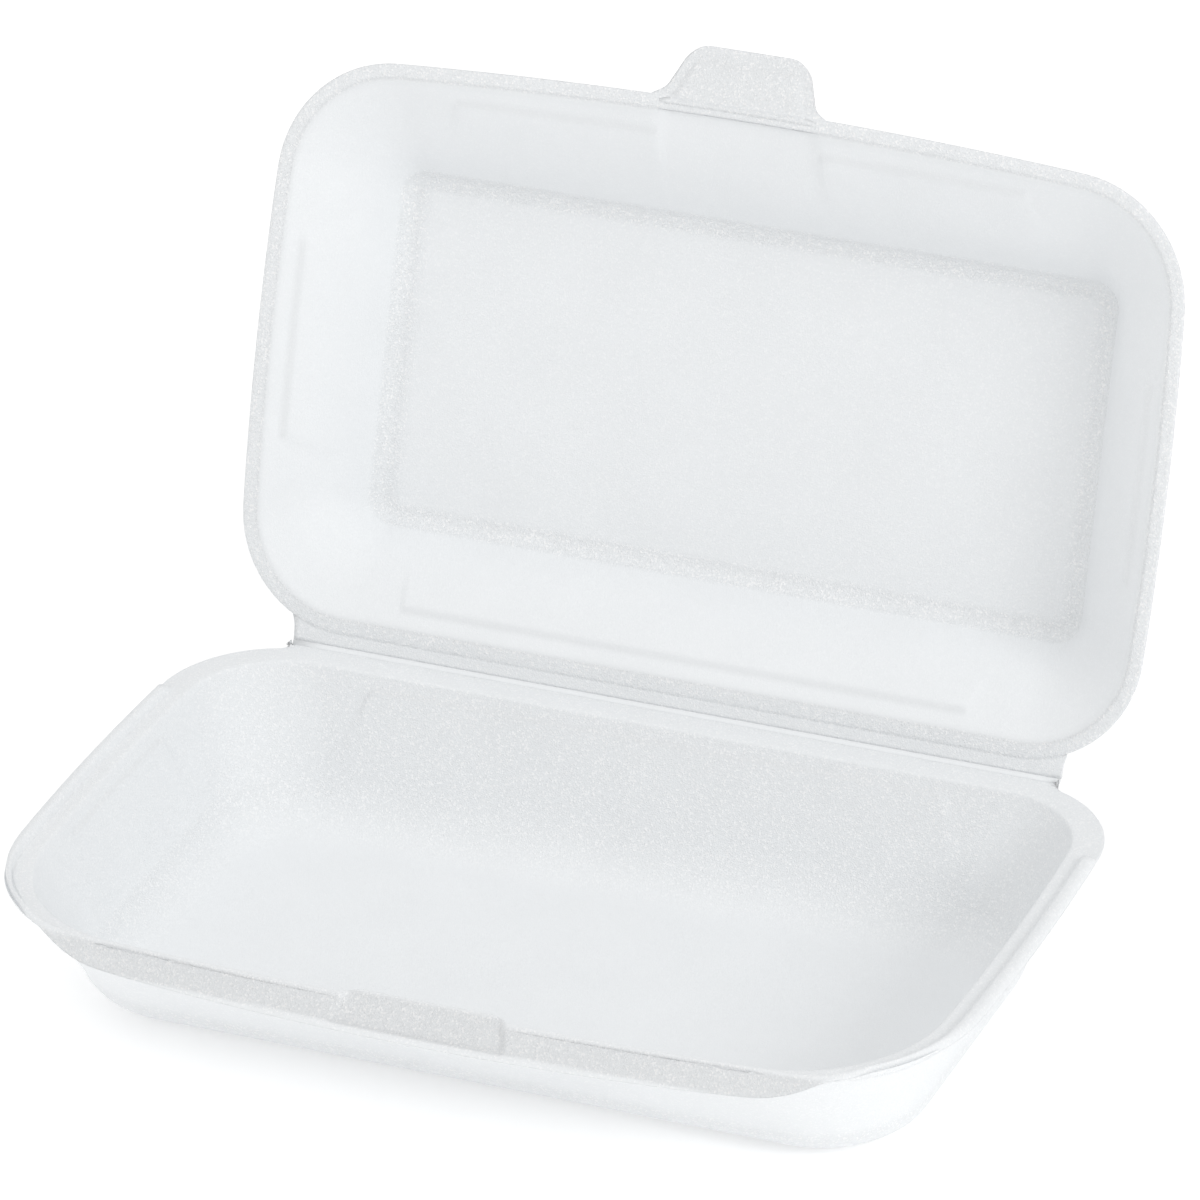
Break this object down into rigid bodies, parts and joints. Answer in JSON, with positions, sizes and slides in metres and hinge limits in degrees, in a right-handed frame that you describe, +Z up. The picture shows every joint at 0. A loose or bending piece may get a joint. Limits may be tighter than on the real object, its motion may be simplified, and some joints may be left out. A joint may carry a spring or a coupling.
{
  "type": "foam clamshell container",
  "caption": "Hinged foam takeaway box: deep tray with a dipping front lip, beads and a tab seat, and a shallow lid with a closing tab.",
  "frame": {"origin": "middle of the underside of the tray's floor", "axes": "+Z up, X along the hinge, the front lip towards -Y and the hinge towards +Y"},
  "size_m": [0.2462, 0.2209, 0.1849],
  "materials": {
    "foam": "white pressed polystyrene foam, satin"
  },
  "bodies": {
    "tray": {"tray": "foam"},
    "lid": {"lid": "foam"}
  },
  "joints": [
    {"name": "lid_hinge", "type": "hinge", "parent": "tray", "child": "lid", "pos_m": [0, 0.0735, 0.0365], "axis": [1, 0, 0], "range_deg": [-70, 110]}
  ]
}
